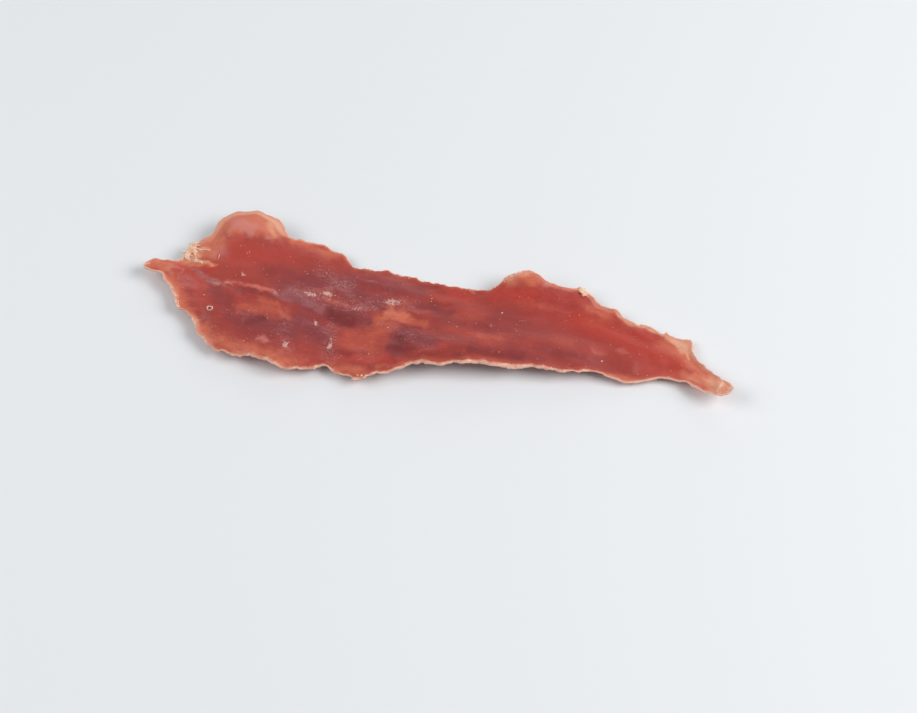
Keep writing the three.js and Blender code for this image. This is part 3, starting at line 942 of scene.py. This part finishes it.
def torn_edge_piece(material):
    shape = bmesh.new()
    draws = np.random.default_rng(seed=12)
    for x0, y0, x1, y1, count, spread, half_size, height in TORN_CRUMBS:
        for _ in range(count):
            share = draws.random()
            x = x0 + (x1 - x0) * share + draws.normal(0, spread)
            y = y0 + (y1 - y0) * share + draws.normal(0, spread)
            rise = Vector((0, 0, height * draws.uniform(-0.5, 1.2)))
            size = half_size * draws.uniform(0.45, 1.1)
            reach = size * draws.uniform([0.8, 0.6, 0.45], [1.3, 1.0, 0.8])
            turn = draws.uniform([-0.7, -0.7, 0], [0.7, 0.7, math.tau])
            fineness = 3 if half_size > LARGE_CRUMB else 2
            add_lump(shape, on_skin(x, y) + rise, reach, turn, fineness, roughness=0.8)
    for half_width, *points in TORN_STRANDS:
        rooted = [Vector((x, y, on_skin(x, y).z + height)) for x, y, height in points]
        add_strand(shape, rooted, half_width)
    return finished_piece("torn_fibres", shape, material)


def dry_finish(name, pale, dark, swells, see_through):
    """A dry matt finish between two tones."""
    material = bpy.data.materials.new(name)
    material.use_nodes = True
    tree = material.node_tree
    skin = tree.nodes["Principled BSDF"]
    spot = add_node(tree, "ShaderNodeTexCoord").outputs["Object"]
    pattern = add_node(tree, "ShaderNodeTexNoise", Vector=spot, Scale=swells, Detail=3.0).outputs["Fac"]
    share = ranged(tree, pattern, 0.35, 0.65)
    tone = add_node(tree, "ShaderNodeMix", {"data_type": "RGBA"}, _0=share, _6=pale, _7=dark).outputs[2]
    tree.links.new(tone, skin.inputs["Base Color"])
    skin.inputs["Roughness"].default_value = 0.55
    skin.inputs["Subsurface Weight"].default_value = see_through
    skin.inputs["Subsurface Radius"].default_value = (1.0, 0.8, 0.6)
    skin.inputs["Subsurface Scale"].default_value = 0.2 * MM
    return material


torn_edge = dry_finish("torn_edge", colour(253, 220, 192), colour(242, 190, 158), 700, 0.2)
fibres = torn_edge_piece(torn_edge)
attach(fibres, "root")


# The crumbs: bits of dry rim that were torn loose and still hang on the edges, under a millimetre long.
# They cling in clusters, more where the rim is torn than where it dried smooth.

CRUMB_SIZES = {
    "Crumbs per area": 2.2e6,
    "Smallest": 0.05 * MM,
    "Largest": 0.3 * MM,
}
CRUMB_RIM = 0.7  # how far in from the rim crumbs lie, in millimetres


def scattered_grains(tree, given, where, density, material, result, seed):
    """Grains of many sizes on the chosen faces, most of them small, half sunk in what they lie on."""
    spots = add_node(
        tree, "GeometryNodeDistributePointsOnFaces", {"distribute_method": "RANDOM"},
        Mesh=given.outputs["Geometry"], Selection=where, Density=density, Seed=seed,
    ).outputs["Points"]
    drawn = add_node(tree, "FunctionNodeRandomValue", {"data_type": "FLOAT"}, Seed=seed + 1).outputs[1]
    few_large = maths(tree, "POWER", drawn, 3.5)
    size = ranged(tree, few_large, 0.0, 1.0, given.outputs["Smallest"], given.outputs["Largest"])
    uneven = add_node(
        tree, "FunctionNodeRandomValue", {"data_type": "FLOAT_VECTOR"},
        _0=(0.6, 0.6, 0.4), _1=(1.5, 1.2, 0.9), Seed=seed + 2,
    ).outputs[0]
    scale = add_node(
        tree, "ShaderNodeVectorMath", {"operation": "SCALE"}, _0=uneven, Scale=size
    ).outputs[0]
    turn = add_node(
        tree, "FunctionNodeRandomValue", {"data_type": "FLOAT_VECTOR"},
        _0=(0, 0, 0), _1=(math.tau, math.tau, math.tau), Seed=seed + 3,
    ).outputs[0]
    grain = add_node(tree, "GeometryNodeMeshIcoSphere", Radius=1.0, Subdivisions=1).outputs["Mesh"]
    placed = add_node(
        tree, "GeometryNodeInstanceOnPoints", Points=spots, Instance=grain, Rotation=turn, Scale=scale
    ).outputs[0]
    give_result(tree, result, placed, material)


def crumb_scatter(material):
    tree, given, result = node_group("crumb_scatter", CRUMB_SIZES)
    spot = add_node(tree, "GeometryNodeInputPosition").outputs[0]
    clusters = add_node(tree, "ShaderNodeTexNoise", Vector=spot, Scale=260.0, Detail=2.0).outputs[0]
    thick = ranged(tree, clusters, 0.48, 0.72, 0.06, 1.0)
    torn = maths(tree, "MULTIPLY", thick, attribute_of(tree, "ragged"))
    density = maths(tree, "MULTIPLY", torn, given.outputs["Crumbs per area"])
    rim_only = maths(tree, "LESS_THAN", attribute_of(tree, "inward"), CRUMB_RIM)
    scattered_grains(tree, given, rim_only, density, material, result, seed=5)
    return tree


def on_meat(name, tree, sizes):
    """A piece that the tree makes from the finished meat."""
    return run_nodes(in_scene(name, meat.data.copy()), tree, sizes)


crumbs = on_meat("rim_crumbs", crumb_scatter(torn_edge), CRUMB_SIZES)
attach(crumbs, "root")


# The salt dust: tiny pale grains that dried out of the meat. They cling to the upper skin one by one,
# thickest where it is crinkled.

DUST_SIZES = {
    "Grains per area": 1.2e5,
    "More in dust": 1.6e6,
    "Smallest": 0.035 * MM,
    "Largest": 0.14 * MM,
}
LEAST_RISE = 0.4  # how much a face must look upwards to hold dust, where one is straight up


def dust_scatter(material):
    tree, given, result = node_group("dust_scatter", DUST_SIZES)
    spot = add_node(tree, "GeometryNodeInputPosition").outputs[0]
    clusters = add_node(tree, "ShaderNodeTexNoise", Vector=spot, Scale=450.0, Detail=2.0).outputs[0]
    clumped = ranged(tree, clusters, 0.45, 0.7, 0.1, 2.0)
    dusty = ranged(tree, attribute_of(tree, "dust"), 0.15, 1.0, interpolation_type="SMOOTHSTEP")
    more = maths(
        tree, "MULTIPLY_ADD", dusty, given.outputs["More in dust"], given.outputs["Grains per area"]
    )
    density = maths(tree, "MULTIPLY", clumped, more)
    faces_up = add_node(
        tree, "ShaderNodeSeparateXYZ", _0=add_node(tree, "GeometryNodeInputNormal").outputs[0]
    ).outputs[2]
    above = maths(tree, "GREATER_THAN", faces_up, LEAST_RISE)
    scattered_grains(tree, given, above, density, material, result, seed=31)
    return tree


salt_dust = dry_finish("salt_dust", colour(226, 184, 174), colour(200, 148, 142), 700, 0.5)
dust = on_meat("salt_dust", dust_scatter(salt_dust), DUST_SIZES)
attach(dust, "root")


# The crystals: crusts of salt and scraps of fat on the upper skin, each a cluster of tiny grains that
# run together, and a few single grains that catch the eye.

CRYSTAL_CLUSTERS = [  # [x, y, spread along, spread across, turn in degrees, how many, half size]
    [-39.3, 1.9, 0.9, 0.36, 4, 120, 0.22],
    [-34.4, 3.5, 0.65, 0.4, 8, 110, 0.22],
    [-33.3, 1.5, 0.18, 0.16, 0, 8, 0.15],
    [-34.9, -7.7, 0.5, 0.2, -58, 40, 0.18],
    [-24.3, 0.7, 1.2, 0.3, 18, 44, 0.13],
    [-22.0, 1.5, 1.6, 0.5, 10, 34, 0.12],
    [-30.6, 8.0, 1.4, 0.7, 10, 40, 0.11],
    [-14.6, 5.4, 0.9, 0.65, 8, 120, 0.2],
    [-13.2, 6.0, 1.2, 0.45, 15, 60, 0.17],
    [-15.0, 4.9, 1.9, 0.8, 8, 60, 0.1],
    [-61.1, 2.3, 0.3, 0.24, 0, 20, 0.17],
    [-63.8, -1.8, 0.5, 0.2, -15, 18, 0.13],
    [-67.6, -2.4, 1.0, 0.16, -12, 22, 0.1],
    [-42.7, 8.8, 0.3, 0.3, 0, 9, 0.14],
    [-49.6, -9.7, 0.3, 0.2, 0, 8, 0.12],
    [-61.9, -10.5, 0.6, 0.3, 20, 16, 0.1],
    [-80.3, -0.9, 0.4, 0.25, -40, 9, 0.15],
    [-28.9, -11.8, 0.25, 0.35, 0, 20, 0.13],
    [-28.5, -14.2, 0.32, 0.45, 0, 60, 0.22],
    [-41.3, -18.1, 0.38, 0.5, -20, 80, 0.22],
    [-18.0, -17.0, 0.5, 0.25, 30, 12, 0.12],
    [-6.3, -8.0, 1.3, 0.5, 0, 20, 0.1],
    [-7.0, 7.6, 0.8, 0.25, 15, 12, 0.1],
    [7.0, 16.0, 0.9, 0.2, -4, 24, 0.13],
    [26.2, 7.4, 0.7, 0.2, 20, 12, 0.1],
    [17.3, 3.5, 0.6, 0.14, 0, 12, 0.09],
]
SINGLE_GRAINS = [  # [x, y, half size]
    [-16.1, -14.7, 0.42],
    [-3.0, 9.9, 0.34],
    [19.4, 8.9, 0.36],
    [52.3, 0.8, 0.36],
    [53.0, 13.8, 0.2],
    [64.4, 9.7, 0.2],
    [73.5, 12.6, 0.3],
    [85.2, 1.1, 0.3],
    [-78.3, -5.6, 0.2],
    [-70.7, -7.2, 0.26],
    [-13.1, -4.0, 0.2],
    [-56.0, -9.0, 0.16],
    [-41.2, 10.6, 0.18],
    [4.5, 1.9, 0.14],
]
STRAY_GRAINS = {"tries": 420, "from": (-90, -26), "to": (86, 27), "half size": (0.05, 0.16)}
# A ring of grains round the pit in the skin
CRATER = {"place": (-67.5, -11.3), "reach": (0.86, 0.62), "grains": 44, "half size": 0.26}


def crystals(material):
    shape = bmesh.new()
    draws = np.random.default_rng(seed=40)

    def add_grain(x, y, half_size):
        reach = half_size * draws.uniform([0.7, 0.6, 0.4], [1.4, 1.1, 0.8])
        turn = draws.uniform(0, math.tau, 3)
        add_lump(shape, on_skin(x, y), reach, turn, fineness=1, roughness=0.5)

    for x, y, along, across, turn, count, half_size in CRYSTAL_CLUSTERS:
        cos, sin = math.cos(math.radians(turn)), math.sin(math.radians(turn))
        for _ in range(count):
            far, wide = draws.normal(0, along), draws.normal(0, across)
            size = half_size * draws.uniform(0.3, 1.1)
            add_grain(x + far * cos - wide * sin, y + far * sin + wide * cos, size)
    for _ in range(STRAY_GRAINS["tries"]):
        x, y = draws.uniform(STRAY_GRAINS["from"], STRAY_GRAINS["to"])
        size = draws.uniform(*STRAY_GRAINS["half size"])
        if skin_under(x, y):
            add_grain(x, y, size)
    for x, y, half_size in SINGLE_GRAINS:
        add_grain(x, y, half_size)
    x, y = CRATER["place"]
    for turn in np.arange(CRATER["grains"]) * math.tau / CRATER["grains"]:
        along, across = [reach * draws.uniform(0.9, 1.15) for reach in CRATER["reach"]]
        add_grain(x + along * math.cos(turn), y + across * math.sin(turn), CRATER["half size"])
    return finished_piece("salt_crystals", shape, material)


salt = crystals(dry_finish("white_specks", colour(244, 208, 196), colour(222, 164, 152), 900, 0.15))
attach(salt, "root")


# The table: a plain pale matt top. The strip lies loose on it, and it runs out of the picture on all
# sides.

bpy.ops.mesh.primitive_plane_add(size=6)
table = bpy.context.object
table.name = "table"
top = bpy.data.materials.new("table_top")
top.use_nodes = True
coat = top.node_tree.nodes["Principled BSDF"]
coat.inputs["Base Color"].default_value = colour(233, 235, 237)
coat.inputs["Roughness"].default_value = 0.7
table.data.materials.append(top)


# The studio: a large soft box on the right and weaker ones on the left and behind. Pale walls all round
# fill the shadows.


def soft_box(name, place, size, watts):
    """A soft light that is aimed at the middle of the strip."""
    lamp = bpy.data.lights.new(name, "AREA")
    lamp.shape = "RECTANGLE"
    lamp.size, lamp.size_y = size
    lamp.energy = watts
    holder = in_scene(name, lamp)
    holder.location = place
    holder.rotation_euler = (-Vector(place)).to_track_quat("-Z", "Y").to_euler()


soft_box("soft_box_right", place=(0.85, 0.1, 0.75), size=(0.7, 0.6), watts=9.4)
soft_box("soft_box_left", place=(-0.8, -0.2, 0.7), size=(0.7, 0.6), watts=4.5)
soft_box("soft_box_behind", place=(0.1, 1.0, 0.4), size=(1.0, 0.4), watts=1.3)
world = bpy.data.worlds.new("walls")
world.use_nodes = True
walls = world.node_tree.nodes["Background"]
walls.inputs["Color"].default_value = (0.93, 0.96, 1, 1)
walls.inputs["Strength"].default_value = 0.32
bpy.context.scene.world = world
bpy.context.scene.view_settings.view_transform = "Standard"


# The camera looks down on the strip as the photograph does, with the strip turned a little. It aims so
# that the strip's middle falls where the photograph has it.

LENS = 70
SENSOR = 36
PICTURE = (917, 713)
STRIP_MIDDLE = (440, 305)  # the strip's middle in the picture, in pixels
MIDDLE = Vector((0.1, 7.9, 4)) * MM  # the same point in the strip's frame
ELEVATION = math.radians(58)
TURN = math.radians(14.5)
DISTANCE = 546 * MM

camera = in_scene("camera", bpy.data.cameras.new("camera"))
camera.data.lens = LENS
camera.data.sensor_width = SENSOR
camera.rotation_euler = Euler((math.pi / 2 - ELEVATION, 0, TURN))
pixels = LENS / SENSOR * PICTURE[0]
towards = Vector(
    ((STRIP_MIDDLE[0] - PICTURE[0] / 2) / pixels, (PICTURE[1] / 2 - STRIP_MIDDLE[1]) / pixels, -1)
)
camera.location = MIDDLE - DISTANCE * (camera.rotation_euler.to_matrix() @ towards)
bpy.context.scene.camera = camera
